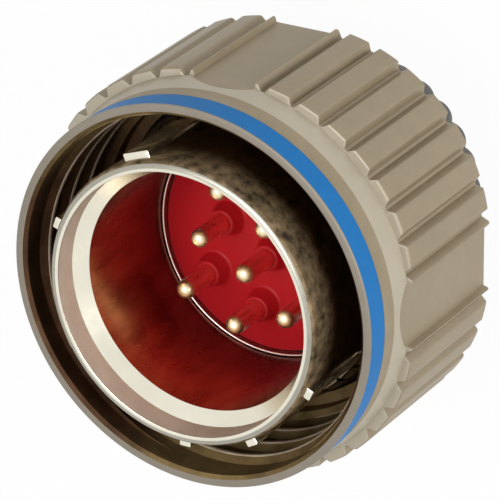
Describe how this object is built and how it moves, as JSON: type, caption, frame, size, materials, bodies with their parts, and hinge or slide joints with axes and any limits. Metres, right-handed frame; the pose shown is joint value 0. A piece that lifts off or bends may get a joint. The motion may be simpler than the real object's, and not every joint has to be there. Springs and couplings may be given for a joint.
{
  "type": "circular connector plug",
  "caption": "Cylindrical threaded-coupling cable plug with a keyed barrel, pin contacts in a soft sealing face and a free-turning gripped coupling nut.",
  "frame": {"origin": "centre of the wire end's face, where the plug stands, on the connector's axis", "axes": "+Z along the connector's axis from the wire end to the mating end, +Y towards the master key"},
  "size_m": [0.0342, 0.0342, 0.0284],
  "materials": {
    "nut_finish": "satin",
    "band_finish": "satin",
    "shell_plating": "polished",
    "spring_steel": "satin",
    "spring_plating": "satin",
    "dark_rubber": "matte",
    "red_rubber": "satin",
    "insulator_plastic": "matte",
    "grommet_rubber": "matte",
    "contact_plating": "polished",
    "clip_metal": "satin"
  },
  "bodies": {
    "shell": {"shell": "shell_plating", "ground_spring": "spring_plating", "shell_seal": "dark_rubber", "interfacial_seal": "red_rubber", "insert_ring": "shell_plating", "front_insulator": "insulator_plastic", "rear_insulator": "insulator_plastic", "wire_grommet": "grommet_rubber", "contact_a": "contact_plating", "contact_b": "contact_plating", "contact_c": "contact_plating", "contact_d": "contact_plating", "contact_e": "contact_plating", "contact_f": "contact_plating", "contact_g": "contact_plating", "contact_h": "contact_plating", "retention_clip_a": "clip_metal", "retention_clip_b": "clip_metal", "retention_clip_c": "clip_metal", "retention_clip_d": "clip_metal", "retention_clip_e": "clip_metal", "retention_clip_f": "clip_metal", "retention_clip_g": "clip_metal", "retention_clip_h": "clip_metal"},
    "coupling_nut": {"coupling_nut": "nut_finish", "colour_band": "band_finish", "retaining_ring": "spring_steel", "spring_washer": "spring_steel", "ratchet_spring_1": "spring_steel", "ratchet_spring_2": "spring_steel", "ratchet_spring_3": "spring_steel"}
  },
  "joints": [
    {"name": "nut_spin", "type": "hinge", "parent": "shell", "child": "coupling_nut", "pos_m": [0, 0, 0.0148], "axis": [0, 0, 1], "continuous": true}
  ]
}
